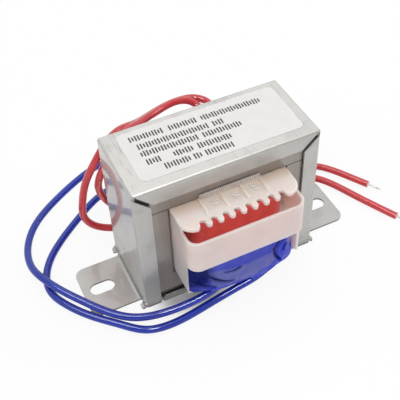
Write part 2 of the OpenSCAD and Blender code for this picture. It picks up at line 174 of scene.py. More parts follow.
def put(tree, kind, sockets=None, **settings):
    """Adds a node, applies its settings, and fills its sockets with values or with links."""
    node = tree.nodes.new(kind)
    for name, value in settings.items():
        setattr(node, name, value)
    for name, value in (sockets or {}).items():
        join(tree, node.inputs[name], value)
    return node


def new_group(name, inputs, outputs):
    """A shader node group with named sockets: its tree, its input node and its output node."""
    tree = bpy.data.node_groups.new(name, "ShaderNodeTree")
    for label, kind, value in inputs:
        socket = tree.interface.new_socket(label, in_out="INPUT", socket_type=kind)
        if value is not None:
            socket.default_value = value
    for label, kind in outputs:
        tree.interface.new_socket(label, in_out="OUTPUT", socket_type=kind)
    return tree, tree.nodes.new("NodeGroupInput"), tree.nodes.new("NodeGroupOutput")


def ramp(tree, value, low, high, first=0.0, last=1.0):
    """A value spread smoothly from first at low to last at high."""
    node = put(tree, "ShaderNodeMapRange", {
        "Value": value, "From Min": low, "From Max": high, "To Min": first, "To Max": last},
        interpolation_type="SMOOTHSTEP")
    return node.outputs["Result"]


def noise(tree, vector, scale, detail=4.0, roughness=0.55):
    """Soft noise from 0 to 1 over a vector."""
    node = put(tree, "ShaderNodeTexNoise", {
        "Vector": vector, "Scale": scale, "Detail": detail, "Roughness": roughness})
    return node.outputs["Fac"]


def stretched(tree, vector, scale, turn=(0.0, 0.0, 0.0)):
    """A vector turned and stretched, for patterns that run one way."""
    node = put(tree, "ShaderNodeMapping", {"Vector": vector, "Scale": scale, "Rotation": turn})
    return node.outputs["Vector"]


def maths(tree, operation, *values):
    """One sum on one or two values, carried on from the left where there are more."""
    node = put(tree, "ShaderNodeMath", dict(enumerate(values[:2])), operation=operation)
    if len(values) > 2:
        return maths(tree, operation, node.outputs[0], *values[2:])
    return node.outputs[0]


def split(tree, vector):
    """The X, Y and Z parts of a vector."""
    return put(tree, "ShaderNodeSeparateXYZ", {"Vector": vector}).outputs


def blend(tree, share, first, second):
    """A colour between two colours."""
    node = put(tree, "ShaderNodeMix", data_type="RGBA")
    sockets = {socket.identifier: socket for socket in node.inputs}
    join(tree, sockets["Factor_Float"], share)
    join(tree, sockets["A_Color"], first)
    join(tree, sockets["B_Color"], second)
    return next(s for s in node.outputs if s.identifier == "Result_Color")


def smear_group():
    """Handling marks on sheet metal: cloudy smears, slow waves, and fine scratches.

    The scratches are the peaks of three noises, each stretched along its own direction and kept to patches.
    """
    tree, enter, leave = new_group(
        "handling_marks",
        [("Vector", "NodeSocketVector", None), ("Scale", "NodeSocketFloat", 1.0)],
        [("Smear", "NodeSocketFloat"), ("Scratch", "NodeSocketFloat"), ("Wave", "NodeSocketFloat")])
    scaled = {0: enter.outputs["Vector"], "Scale": enter.outputs["Scale"]}
    place = put(tree, "ShaderNodeVectorMath", scaled, operation="SCALE").outputs["Vector"]
    smear = ramp(tree, noise(tree, place, 90.0, 6.0, 0.6), 0.42, 0.68)
    scratches = []
    for turn in (0.5, -0.9, 2.1):
        lines = noise(tree, stretched(tree, place, (2600.0, 60.0, 60.0), (0.0, 0.0, turn)), 1.0, 2.0)
        patch = ramp(tree, noise(tree, place, 120.0 + 30.0 * turn, 2.0), 0.52, 0.62)
        scratches.append(maths(tree, "MULTIPLY", ramp(tree, lines, 0.6, 0.69), patch))
    tree.links.new(smear, leave.inputs["Smear"])
    tree.links.new(maths(tree, "MAXIMUM", *scratches), leave.inputs["Scratch"])
    tree.links.new(noise(tree, place, 55.0, 2.0), leave.inputs["Wave"])
    return tree


def mottle_group():
    """Uneven colour of plastics and film: a blend of two colours over soft noise, and a fine grain."""
    tree, enter, leave = new_group(
        "uneven_colour",
        [("Vector", "NodeSocketVector", None), ("Scale", "NodeSocketFloat", 200.0),
         ("Light", "NodeSocketColor", (1, 1, 1, 1)), ("Dark", "NodeSocketColor", (0, 0, 0, 1))],
        [("Color", "NodeSocketColor"), ("Grain", "NodeSocketFloat"), ("Cloud", "NodeSocketFloat")])
    place = enter.outputs["Vector"]
    cloud = ramp(tree, noise(tree, place, enter.outputs["Scale"], 5.0), 0.3, 0.7)
    colour = blend(tree, cloud, enter.outputs["Dark"], enter.outputs["Light"])
    tree.links.new(colour, leave.inputs["Color"])
    tree.links.new(noise(tree, place, 6000.0, 2.0), leave.inputs["Grain"])
    tree.links.new(cloud, leave.inputs["Cloud"])
    return tree


def new_material(name):
    """An empty material: its tree, the object coordinates and its Principled BSDF."""
    material = bpy.data.materials.new(name)
    material.use_nodes = True
    tree = material.node_tree
    tree.nodes.clear()
    surface = put(tree, "ShaderNodeBsdfPrincipled")
    put(tree, "ShaderNodeOutputMaterial", {"Surface": surface.outputs["BSDF"]})
    place = put(tree, "ShaderNodeTexCoord").outputs["Object"]
    return material, tree, place, surface


def fill(tree, surface, **sockets):
    """Fills the shader's sockets, whose names are written with underscores."""
    for name, value in sockets.items():
        join(tree, surface.inputs[name.replace("_", " ")], value)


def bump(tree, height, reach):
    """A normal from a height of 0 to 1, where 1 stands a reach above the surface."""
    return put(tree, "ShaderNodeBump", {"Height": height, "Distance": reach * MM}).outputs["Normal"]


def grey(level, warm):
    """A grey with a little warmth, as a colour."""
    return (level * (1 + warm), level, level * (1 - warm), 1.0)


def darker(colour, share):
    """A colour brought down to a share of itself."""
    return tuple(share * part for part in colour[:3]) + (1.0,)


marks = smear_group()
mottle = mottle_group()


def place_group(tree, group, **sockets):
    """A shared effect placed in a material with its own values."""
    return put(tree, "ShaderNodeGroup", sockets, node_tree=group).outputs


def sheet_metal(name, light, dark, rough, coat, low=0.0):
    """Zinc-coated or bare sheet: a broad metal gloss under a fine, clear, sharper one, with handling marks.

    Towards the standing surface it is painted darker as shade, by the share that low gives, and its edges
    there are painted near black as the shade of the gap under the feet. Its scratches are strong on the
    frame's top and faint below.
    """
    material, tree, place, surface = new_material(name)
    effect = place_group(tree, marks, Vector=place, Scale=1.0)
    height = split(tree, place)["Z"]
    colour = blend(tree, effect["Smear"], light, dark)
    # Painted shade: the sheet darker towards the feet, where the body shades them
    foot_shade = ramp(tree, height, FOOT_SHADE_LOW * MM, FOOT_SHADE_HIGH * MM, low, 0.0)
    colour = blend(tree, foot_shade, colour, darker(dark, 0.45))
    # Painted shade: the sheet's edges near the floor near black, as the gap under the feet
    edge_shade = ramp(tree, height, (SHEET_T - 0.15) * MM, (SHEET_T + 0.01) * MM, 2.0 * low, 0.0)
    colour = blend(tree, edge_shade, colour, (0.05, 0.048, 0.045, 1))
    on_top = ramp(tree, height, (FRAME_TOP - 0.7) * MM, (FRAME_TOP - 0.3) * MM, 0.08, 0.8)
    scratch = maths(tree, "MULTIPLY", effect["Scratch"], on_top)
    colour = blend(tree, scratch, colour, darker(dark, 0.6))
    roughness = ramp(tree, effect["Smear"], 0.0, 1.0, rough, rough + 0.12)
    fill(tree, surface, Base_Color=colour, Metallic=0.85, Roughness=roughness, Coat_Weight=coat,
         Coat_Roughness=0.05, Coat_IOR=1.6, Normal=bump(tree, effect["Wave"], 0.12))
    return material


def core_steel():
    """Varnished core sheet: brown-grey, streaked down the rolling direction, with a soft clear gloss.

    It is dark along the joint between the E and I sheets. At the foot, above the bottom plate's lip, and
    under the frame's flanges it is painted near black as shade.
    """
    material, tree, place, surface = new_material("core_steel")
    streak = noise(tree, stretched(tree, place, (1400.0, 1400.0, 40.0)), 1.0, 3.0)
    cloud = noise(tree, place, 90.0, 5.0)
    effect = place_group(tree, marks, Vector=place, Scale=1.3)
    tone = blend(tree, ramp(tree, streak, 0.3, 0.7), (0.28, 0.247, 0.22, 1), (0.315, 0.28, 0.25, 1))
    patchy = blend(tree, ramp(tree, cloud, 0.35, 0.75, 0.0, 0.4), tone, (0.23, 0.195, 0.17, 1))
    worn = blend(tree, maths(tree, "MULTIPLY", effect["Scratch"], 0.5), patchy, (0.4, 0.38, 0.36, 1))
    axes = split(tree, place)
    across = maths(tree, "ABSOLUTE", axes["X"])
    off_joint = maths(tree, "ABSOLUTE", maths(tree, "SUBTRACT", axes["Z"], JOINT_Z * MM))
    joint = ramp(tree, off_joint, 0.1 * MM, 0.22 * MM, 0.95, 0.0)
    # Painted shade: near black behind the frame's flanges and at the foot, above the bottom plate's lip
    shade_under_ends = ramp(tree, across, (FLANGE_X - 0.1) * MM, (FLANGE_X + 0.2) * MM)
    shade_under_top = ramp(tree, axes["Z"], (FLANGE_Z - 0.1) * MM, (FLANGE_Z + 0.2) * MM)
    foot = ramp(tree, axes["Z"], (LIP_TOP + 1.1) * MM, (LIP_TOP + 1.9) * MM, 0.9, 0.0)
    dark = maths(tree, "MAXIMUM", joint, shade_under_ends, shade_under_top, foot)
    colour = blend(tree, dark, worn, (0.02, 0.018, 0.016, 1))
    fill(tree, surface, Base_Color=colour, Metallic=0.6, Roughness=ramp(tree, cloud, 0.3, 0.7, 0.34, 0.46),
         Coat_Weight=0.6, Coat_Roughness=0.12, Coat_IOR=1.7, Normal=bump(tree, streak, 0.02))
    return material


def plastic(name, light, dark, scale, rough, grain, coat=0.0, shine=0.5):
    """Moulded or extruded plastic: uneven colour and a fine grain, under a clear gloss where it has one.

    Paper, ink and enamelled wire are made the same way.
    """
    material, tree, place, surface = new_material(name)
    effect = place_group(tree, mottle, Vector=place, Scale=scale, Light=light, Dark=dark)
    fill(tree, surface, Base_Color=effect["Color"], Roughness=rough, Specular_IOR_Level=shine,
         Coat_Weight=coat, Coat_Roughness=0.05, Coat_IOR=1.5, Normal=bump(tree, effect["Grain"], grain))
    return material


def stretched_film():
    """Blue film stretched over the winding: deep blue, with a painted sheen where it would mirror the
    floor, and painted shade in its folds and at its left end.
    """
    material, tree, place, surface = new_material("blue_film")
    effect = place_group(tree, mottle, Vector=place, Scale=250.0, Light=(0.013, 0.032, 0.56, 1),
                         Dark=(0.01, 0.024, 0.46, 1))
    sheen_band = put(tree, "ShaderNodeAttribute", attribute_name="painted_sheen").outputs["Fac"]
    shade = put(tree, "ShaderNodeAttribute", attribute_name="painted_shade").outputs["Fac"]
    # Painted sheen: a pale band where the film would mirror the floor
    cloudy = maths(tree, "MULTIPLY", sheen_band, ramp(tree, effect["Cloud"], 0.0, 1.0, 0.75, 1.0))
    colour = blend(tree, cloudy, effect["Color"], (0.12, 0.13, 0.4, 1))
    # Painted shade in the folds and at the film's left end
    colour = blend(tree, shade, colour, (0.003, 0.006, 0.08, 1))
    fill(tree, surface, Base_Color=colour, Roughness=ramp(tree, sheen_band, 0.0, 1.0, 0.2, 0.38),
         Specular_IOR_Level=0.05, Coat_Weight=ramp(tree, shade, 0.55, 0.9, 0.7, 0.0),
         Coat_Roughness=0.05, Coat_IOR=1.35, Normal=bump(tree, effect["Grain"], 0.003))
    return material


def moulded_nylon(name, light, dark, depth, core_shade):
    """Milky nylon that lets light through over a depth.

    Near the core it is painted browner as shade, by a given share, and the bays between the bobbin's ribs
    are painted darker and yellower as shade.
    """
    material, tree, place, surface = new_material(name)
    effect = place_group(tree, mottle, Vector=place, Scale=120.0, Light=light, Dark=dark)
    axes = split(tree, place)
    across = maths(tree, "ABSOLUTE", axes["X"])
    away = maths(tree, "ABSOLUTE", axes["Y"])
    height = axes["Z"]
    # Painted shade: the bays between the ribs darker and yellower, so that the ribs stand out
    between_ribs = ramp(tree, across, BAY_HALF_W * MM, (BAY_HALF_W - 0.5) * MM)
    behind_end = ramp(tree, away, BAY_END_Y * MM, (BAY_END_Y - 1.5) * MM)
    above = ramp(tree, height, (BOBBIN_TOP - 0.3) * MM, (BOBBIN_TOP - 0.1) * MM)
    below = ramp(tree, height, (BOBBIN_TOP + 0.3) * MM, (BOBBIN_TOP + 0.1) * MM)
    bay_shade = maths(tree, "MULTIPLY", between_ribs, behind_end, above, below, 0.75)
    # Painted shade: browner near the core, where the flange meets it
    shade_near_core = ramp(tree, away, (COLLAR_Y + CORE_SHADE_START) * MM, (COLLAR_Y + CORE_SHADE_END) * MM, core_shade, 0.0)
    colour = blend(tree, shade_near_core, effect["Color"], (0.7, 0.55, 0.44, 1))
    colour = blend(tree, bay_shade, colour, (0.82, 0.69, 0.61, 1))
    fill(tree, surface, Base_Color=colour, Roughness=0.4, Subsurface_Weight=1.0,
         Subsurface_Radius=(1.0, 0.75, 0.65), Subsurface_Scale=depth * MM,
         Normal=bump(tree, effect["Grain"], 0.01))
    return material


def serrated_nylon():
    """Nylon of the collars, a darker copy of the bobbin's nylon as painted shade, and darker still in the
    grooves of the serrations as painted shade, more so towards their tops.
    """
    material, tree, place, surface = new_material("shaded_collar_nylon")
    # Painted shade: the collar's nylon darker than the bobbin's
    effect = place_group(tree, mottle, Vector=place, Scale=300.0, Light=(0.7, 0.61, 0.56, 1),
                         Dark=(0.62, 0.53, 0.48, 1))
    axes = split(tree, place)
    # Painted shade in the grooves of the serrations, stronger towards their tops
    phase = maths(tree, "MULTIPLY", axes["X"], np.pi / (SERRATION_PITCH * MM))
    ridge = maths(tree, "ABSOLUTE", maths(tree, "SINE", phase))
    upper = ramp(tree, axes["Z"], (BOBBIN_TOP + 0.3) * MM, (COLLAR_TOP - 0.3) * MM, 0.25, 0.9)
    groove_shade = maths(tree, "MULTIPLY", ramp(tree, ridge, 0.75, 0.35), upper)
    colour = blend(tree, groove_shade, effect["Color"], (0.16, 0.13, 0.11, 1))
    fill(tree, surface, Base_Color=colour, Roughness=0.45, Normal=bump(tree, effect["Grain"], 0.01))
    return material


zinc = sheet_metal("zinc_steel", (0.485, 0.475, 0.452, 1), (0.42, 0.411, 0.393, 1),
                   rough=0.4, coat=0.8, low=0.4)
plate = sheet_metal("plate_steel", grey(0.34, 0.02), grey(0.29, 0.02), rough=0.4, coat=0.5)
tin = sheet_metal("tinned_copper", grey(0.6, 0.03), grey(0.45, 0.05), rough=0.3, coat=0.0)
core = core_steel()
nylon = moulded_nylon("nylon", (0.9, 0.8, 0.755, 1), (0.86, 0.745, 0.7, 1), depth=1.8, core_shade=0.8)
cover_nylon = moulded_nylon("cover_nylon", (0.775, 0.655, 0.625, 1), (0.735, 0.61, 0.58, 1),
                            depth=4.0, core_shade=0.0)
shaded_collar_nylon = serrated_nylon()
blue_film = stretched_film()
red_tape = plastic("red_tape", (0.92, 0.115, 0.1, 1), (0.83, 0.095, 0.085, 1),
                   scale=300.0, rough=0.34, grain=0.01, shine=0.4)
blue_tape = plastic("blue_tape", (0.014, 0.026, 0.46, 1), (0.01, 0.02, 0.36, 1),
                    scale=250.0, rough=0.22, grain=0.003, coat=0.6, shine=0.4)
red_pvc = plastic("red_pvc", (0.64, 0.042, 0.052, 1), (0.56, 0.033, 0.043, 1),
                  scale=150.0, rough=0.34, grain=0.004, coat=0.9, shine=0.1)
blue_pvc = plastic("blue_pvc", (0.01, 0.032, 0.4, 1), (0.008, 0.026, 0.33, 1),
                   scale=150.0, rough=0.3, grain=0.004, coat=0.8, shine=0.1)
cut_pvc = plastic("cut_pvc", (0.85, 0.62, 0.58, 1), (0.8, 0.5, 0.48, 1), scale=900.0, rough=0.5, grain=0.01)
copper = plastic("copper", (0.55, 0.25, 0.1, 1), (0.45, 0.2, 0.08, 1), scale=400.0, rough=0.35, grain=0.01)
paper = plastic("paper", (0.84, 0.825, 0.815, 1), (0.81, 0.795, 0.785, 1),
                scale=200.0, rough=0.6, grain=0.008)
ink = plastic("ink", (0.035, 0.03, 0.03, 1), (0.02, 0.018, 0.018, 1), scale=900.0, rough=0.5, grain=0.004)


# Meshes

def smooth(mesh, angle):
    """Smooth shading, apart from edges sharper than an angle in degrees."""
    mesh.polygons.foreach_set("use_smooth", np.ones(len(mesh.polygons), dtype=bool))
    mesh.set_sharp_from_angle(angle=np.radians(angle))


def new_mesh(name, corners, faces, material):
    """A piece from arrays of corners and faces, with coincident corners merged, riding on the body."""
    mesh = bpy.data.meshes.new(name)
    mesh.from_pydata(corners.tolist(), [], faces.tolist())
    shape = bmesh.new()
    shape.from_mesh(mesh)
    bmesh.ops.remove_doubles(shape, verts=shape.verts, dist=0.0001 * MM)
    shape.to_mesh(mesh)
    shape.free()
    smooth(mesh, angle=40)
    mesh.materials.append(material)
    piece = new_object(name, mesh)
    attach(piece, "root")
    return piece


def new_piece(name, grids, material, closed=True):
    """A mesh of one or more grids of points, each (rows, columns, 3), joined round if closed.

    Faces point to the side from which rows run up and columns run to the right.
    """
    corners = []
    faces = []
    start = 0
    for grid in grids:
        rows, columns = grid.shape[:2]
        index = start + np.arange(rows * columns).reshape(rows, columns)
        ahead = np.roll(index, -1, axis=1)
        last = columns if closed else columns - 1
        quads = np.stack([index[:-1], ahead[:-1], ahead[1:], index[1:]], axis=-1)[:, :last]
        faces.append(quads.reshape(-1, 4))
        corners.append(grid.reshape(-1, 3))
        start += rows * columns
    return new_mesh(name, np.concatenate(corners), np.concatenate(faces), material)


def square_frame(ahead):
    """Side, down and ahead directions of length 1 for a heading, square to each other and right-handed."""
    ahead = ahead / np.linalg.norm(ahead)
    side = np.cross(ahead, (0.0, 0.0, 1.0))
    side = side / np.linalg.norm(side)
    return side, np.cross(ahead, side), ahead


# Leads

def curve_slopes(points):
    """Slopes of the cubic curve through the points, spaced by distance, and the distances.

    Its bends are continuous and its ends are free, so the slopes solve one equation for each point.
    """
    gaps = np.linalg.norm(np.diff(points, axis=0), axis=1)
    inner = np.arange(1, len(points) - 1)
    steps = np.diff(points, axis=0) / gaps[:, None]
    table = np.zeros((len(points), len(points)))
    table[inner, inner - 1] = 1 / gaps[:-1]
    table[inner, inner] = 2 / gaps[:-1] + 2 / gaps[1:]
    table[inner, inner + 1] = 1 / gaps[1:]
    table[0, :2] = 2, 1
    table[-1, -2:] = 1, 2
    sums = np.empty_like(points)
    sums[inner] = 3 * (steps[:-1] / gaps[:-1, None] + steps[1:] / gaps[1:, None])
    sums[0] = 3 * steps[0]
    sums[-1] = 3 * steps[-1]
    return np.linalg.solve(table, sums), gaps


def add_lead(name, node, route, material):
    """A lead of round section along its route, with the cubic curve's slopes as handles.

    Its bare end and the cut face of its insulation go with it.
    """
    points = np.array(route) * MM
    slopes, gaps = curve_slopes(points)
    before = np.concatenate([gaps[:1], gaps])[:, None]
    after = np.concatenate([gaps, gaps[-1:]])[:, None]
    data = bpy.data.curves.new(name, "CURVE")
    data.dimensions = "3D"
    data.bevel_depth = LEAD_DIAMETER / 2 * MM
    data.bevel_resolution = 6
    data.resolution_u = 12
    data.use_fill_caps = True
    spline = data.splines.new("BEZIER")
    spline.bezier_points.add(len(points) - 1)
    for point in spline.bezier_points:
        point.handle_left_type = "FREE"
        point.handle_right_type = "FREE"
    spline.bezier_points.foreach_set("co", points.ravel())
    spline.bezier_points.foreach_set("handle_left", (points - slopes * before / 3).ravel())
    spline.bezier_points.foreach_set("handle_right", (points + slopes * after / 3).ravel())
    data.materials.append(material)
    lead = new_object(name, data)
    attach(lead, "root")
    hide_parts(node)
    bare = add_bare_end(name + "_strands", points[-1], slopes[-1], node + "_end")
    face = add_cut_face(name + "_cut_face", points[-1], slopes[-1])


def add_bare_end(name, tip, heading, node):
    """Six tinned strands laid in a slow helix round a seventh.

    Each is a round tube carried along its helix, and its end closes in a dome.
    """
    rings = 25
    turns = 0.6
    strand_r = TIN_DIAMETER / 6 * MM
    side, down, ahead = square_frame(heading)
    reach = np.concatenate([np.linspace(0, 1, rings), [1.02, 1.03]])
    girth = np.concatenate([np.ones(rings), [0.7, 0.0]])
    around = np.linspace(0, 2 * np.pi, 10, endpoint=False)
    ring = np.outer(np.cos(around), side) + np.outer(np.sin(around), down)
    grids = []
    for k in range(7):
        orbit = 0.0 if k == 0 else 2 * strand_r
        turn = 2 * np.pi * (k / 6 + turns * reach)
        middle = tip + np.outer(reach * TIN_LENGTH * MM, ahead)
        middle = middle + orbit * (np.outer(np.cos(turn), side) + np.outer(np.sin(turn), down))
        grids.append(middle[:, None] + strand_r * girth[:, None, None] * ring[None])
    piece = new_piece(name, grids, tin)
    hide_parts(node)
    return piece


def add_cut_face(name, tip, heading):
    """The cut end of the insulation: a shallow dish turned about the lead, just proud of the tube's end."""
    side, down, ahead = square_frame(heading)
    fit = 0.985
    radius = np.array([1.0, 0.96, 0.85, 0.6, 0.32, 0.3]) * fit * LEAD_DIAMETER / 2 * MM
    height = np.array([-0.1, 0.05, 0.1, 0.09, 0.06, -0.2]) * MM
    around = np.linspace(0, 2 * np.pi, 32, endpoint=False)
    ring = np.outer(np.cos(around), side) + np.outer(np.sin(around), down)
    grid = tip + height[:, None, None] * ahead + radius[:, None, None] * ring[None]
    return new_piece(name, [grid], cut_pvc)


add_camera()
add_lead("red_lead_outer", "red_lead_1", RED_ROUTE_1, red_pvc)
add_lead("red_lead_inner", "red_lead_2", RED_ROUTE_2, red_pvc)
add_lead("blue_lead_outer", "blue_lead_1", BLUE_ROUTE_1, blue_pvc)
add_lead("blue_lead_inner", "blue_lead_2", BLUE_ROUTE_2, blue_pvc)


# Solids with eased edges

SHARP_ANGLE = 30


def eased_copy(node, material, width):
    """A merged copy of a node, its flat faces joined and its sharp edges rounded over a given width."""
    shape = bmesh.new()
    shape.from_mesh(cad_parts[node].data)
    bmesh.ops.remove_doubles(shape, verts=shape.verts, dist=0.002 * MM)
    bmesh.ops.dissolve_limit(shape, angle_limit=np.radians(0.5), verts=shape.verts, edges=shape.edges)
    shape.verts.index_update()
    mesh = bpy.data.meshes.new(node + "_eased")
    corners = [v.co[:] for v in shape.verts]
    faces = [[v.index for v in f.verts] for f in shape.faces]
    mesh.from_pydata(corners, [], faces)
    shape.free()
    smooth(mesh, angle=SHARP_ANGLE)
    mesh.materials.append(material)
    piece = new_object(node + "_eased", mesh)
    edge = piece.modifiers.new("eased_edges", "BEVEL")
    edge.width = width * MM
    edge.segments = 2
    edge.limit_method = "ANGLE"
    edge.angle_limit = np.radians(SHARP_ANGLE)
    edge.harden_normals = True
    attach(piece, "root")
    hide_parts(node)
    return piece


eased_copy("frame", zinc, 0.08)
eased_copy("bottom_plate", plate, 0.08)
eased_copy("e_laminations", core, 0.06)
eased_copy("i_laminations", core, 0.06)
eased_copy("bobbin", nylon, 0.12)
# The covers' nylon lets light through to the film behind it, so they cast no shadow
for cover in ("front_cover", "rear_cover"):
    eased_copy(cover, cover_nylon, 0.15).visible_shadow = False
for node, material in (("primary_winding", copper), ("secondary_winding", copper), ("label", paper)):
    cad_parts[node].data.materials.clear()
    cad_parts[node].data.materials.append(material)


# Taped windings

def smooth_step(value, low, high):
    """A value spread smoothly from 0 at low to 1 at high."""
    share = np.clip((value - low) / (high - low), 0.0, 1.0)
    return share * share * (3.0 - 2.0 * share)


def rounded_path(half_w, half_y, radius, count):
    """Points and outward directions, evenly spaced along a rounded rectangle from the middle of its front.

    Along each straight side the outward angle stays and the centre moves. Along each quarter circle the
    centre stays and the angle turns.
    """
    side_x = half_w - radius
    side_y = half_y - radius
    quarter = np.pi / 2 * radius
    lengths = [side_x, quarter, 2 * side_y, quarter, 2 * side_x, quarter, 2 * side_y, quarter, side_x]
    knots = np.concatenate([[0.0], np.cumsum(lengths)])
    along = np.linspace(0.0, knots[-1], count, endpoint=False)
    angle = np.radians(np.interp(along, knots, [-90, -90, 0, 0, 90, 90, 180, 180, 270, 270]))
    centre_x = np.interp(along, knots, side_x * np.array([0, 1, 1, 1, 1, -1, -1, -1, -1, 0]))
    centre_y = np.interp(along, knots, side_y * np.array([-1, -1, -1, 1, 1, 1, 1, -1, -1, -1]))
    outward = np.stack([np.cos(angle), np.sin(angle)], axis=-1)
    return np.stack([centre_x, centre_y], axis=-1) + radius * outward, outward


def tape_ring(low, high, radius, proud):
    """A taped ring: its profile runs in at the foot, up the face and in at the top, round the path.

    The face stands proud by an amount that depends on the place along the path and on the height.
    """
    rim = 0.8
    easing = 0.12
    heights = np.concatenate([[low[2]], np.linspace(low[2], high[2], 48), [high[2]]])
    inset = np.zeros(len(heights))
    inset[[0, -1]] = rim
    inset[[1, -2]] = easing
    path, outward = rounded_path(high[0], high[1], radius, 320)
    reach = proud(path[None], heights[:, None]) - inset[:, None]
    grid = np.empty((len(heights), len(path), 3))
    grid[..., :2] = path[None] + reach[..., None] * outward[None]
    grid[..., 2] = heights[:, None]
    return grid * MM


def node_box(node):
    """The lowest and highest corners of a node, in millimetres."""
    low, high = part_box(node)
    return np.array(low) / MM, np.array(high) / MM


def add_upper_tape():
    """Red film round the upper winding: two overlapping bands, whose edge wanders, and shallow waves."""
    low, high = node_box("primary_tape")
    lap_z = low[2] + 0.52 * (high[2] - low[2])
    lap = 0.1
    lap_half = 0.12

    def proud(path, height):
        x, y = path[..., 0], path[..., 1]
        edge = lap_z + 0.5 * np.sin(0.16 * x + 0.21 * y) + 0.09 * x
        wave = 0.05 * np.sin(0.45 * x + 0.9 * height) * np.sin(0.3 * y - 0.5 * height + 1.0)
        return wave - lap * smooth_step(height, edge - lap_half, edge + lap_half)

    grids = [tape_ring(low, high, UPPER_TAPE_R, proud)]
    piece = new_piece("upper_tape_bands", grids, red_tape)
    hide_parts("primary_tape")


def fold_distance(x, z, line, widths):
    """The distance from a line of points, the least over its straight parts, and the fold's width there.

    The width runs evenly from its first value to its last over the line's points.
    """
    away = np.full(x.shape, np.inf)
    passed = np.zeros(x.shape)
    for step, ((x0, z0), (x1, z1)) in enumerate(zip(line[:-1], line[1:])):
        run_x, run_z = x1 - x0, z1 - z0
        share = ((x - x0) * run_x + (z - z0) * run_z) / (run_x ** 2 + run_z ** 2)
        share = np.clip(share, 0.0, 1.0)
        gap = np.hypot(x - x0 - share * run_x, z - z0 - share * run_z)
        passed = np.where(gap < away, step + share, passed)
        away = np.minimum(away, gap)
    return away, np.interp(passed, [0.0, len(line) - 1.0], widths)


def fold(x, z, line, depth, widths):
    """A fold along a line: a bell-shaped valley over the distance from it, with low ridges beside it."""
    away, width = fold_distance(x, z, line, widths)
    ridge = np.exp(-((away - 2.0 * width) / width) ** 2)
    return depth * (0.5 * ridge - np.exp(-(away / width) ** 2))


def swell(x, z, middle, reach, height):
    """A bell-shaped swelling about a middle, with its own reach each way."""
    return height * np.exp(-((x - middle[0]) / reach[0]) ** 2 - ((z - middle[1]) / reach[1]) ** 2)


# The film's folds, over x and z: line, depth, and width at its start and end
TAPE_FOLDS = (
    ([(-14.0, 20.6), (-13.2, 18.6), (-12.4, 16.8), (-9.8, 13.6), (-7.0, 11.7), (-4.2, 11.0)],
     0.6, (1.2, 0.35)),
    ([(-17.0, 17.8), (-15.8, 16.3), (-14.6, 14.4), (-12.2, 12.3), (-10.4, 11.0)], 0.6, (0.4, 0.5)),
    ([(-16.6, 12.0), (-14.6, 10.9), (-12.0, 9.8)], 0.6, (0.35, 0.4)),
    ([(-6.8, 15.6), (-5.4, 15.1), (-3.6, 15.0), (-1.7, 15.4)], 0.3, (0.2, 0.45)),
    ([(13.6, 21.0), (11.5, 19.4), (9.8, 17.1), (10.2, 14.2), (11.8, 11.6)], 0.6, (0.7, 0.4)),
    ([(14.6, 18.6), (13.2, 17.0), (12.6, 15.6)], 0.3, (0.45, 0.25)),
)
# The film's swellings: middle, reach each way, and height
TAPE_SWELLS = (
    ((0.0, 12.0), (13.0, 4.2), 0.9),
    ((13.4, 14.4), (2.0, 3.0), 0.7),
    ((-14.8, 13.6), (2.4, 2.2), 0.6),
)
FILM_LEFT = -18.35
FILM_RIGHT = 16.6
FILM_FOOT = 6.9
FILM_CORNER_R = 3.0


def painted_sheen(x, z):
    """The share of painted sheen, a reflection of the floor painted into the film: a band along the front
    whose two edges are parabolas over x.
    """
    top = 15.5 + 0.0135 * (x - 2.0) ** 2
    foot = 8.9 + 0.02 * (x + 1.0) ** 2
    band = smooth_step(z, foot - 0.6, foot + 1.6) * (1.0 - 0.65 * smooth_step(z, top - 0.3, top + 0.5))
    return band * smooth_step(x, -12.6, -10.2) * (1.0 - 0.75 * smooth_step(x, 9.2, 10.6))


def painted_shade(x, z):
    """The share of painted shade: the folds' bottoms, and the film's left end, most of all under the cover.
    """
    left = 1.0 - smooth_step(x, -13.5, -8.5)
    shade = left * (0.3 + 0.62 * smooth_step(z, 12.4, 16.2))
    for line, _, widths in TAPE_FOLDS:
        away, width = fold_distance(x, z, line, widths)
        shade = np.maximum(shade, np.exp(-(away / (0.9 * width)) ** 2))
    return shade


def film_foot(x, holds_lead):
    """The height of the film's foot over x.

    It rises towards both ends as a square of the distance, rounds up in a quarter circle at the right, and
    dips to go under a lead where it holds one.
    """
    flat_left, flat_right = -6.0, 4.0
    left_lift, right_lift = 6.0, 4.4
    right_run = 13.0
    left_rise = np.clip((flat_left - x) / (flat_left - FILM_LEFT), 0.0, 1.0) ** 2
    right_rise = np.clip((x - flat_right) / right_run, 0.0, 1.0) ** 2
    corner_in = np.clip((x - FILM_RIGHT) / FILM_CORNER_R + 1.0, 0.0, 1.0)
    corner = FILM_CORNER_R * (1.0 - np.sqrt(1.0 - corner_in ** 2))
    foot = FILM_FOOT + left_lift * left_rise + right_lift * right_rise + corner
    held = 6
    lead = np.array(BLUE_ROUTE_2[:held][::-1])
    lead_foot = np.interp(x, lead[:, 0], lead[:, 2]) - 0.6 * LEAD_DIAMETER
    sleeve = smooth_step(x, 1.5, 4.5) * (1.0 - smooth_step(x, 10.0, 12.5))
    return foot + holds_lead * sleeve * np.minimum(lead_foot - foot, 0.0)


def quarter_circle(share):
    """A rise from 0 to 1 as a quarter circle, steep at first, while the share runs from 0 to 1."""
    return np.sqrt(1.0 - (1.0 - np.clip(share, 0.0, 1.0)) ** 2)


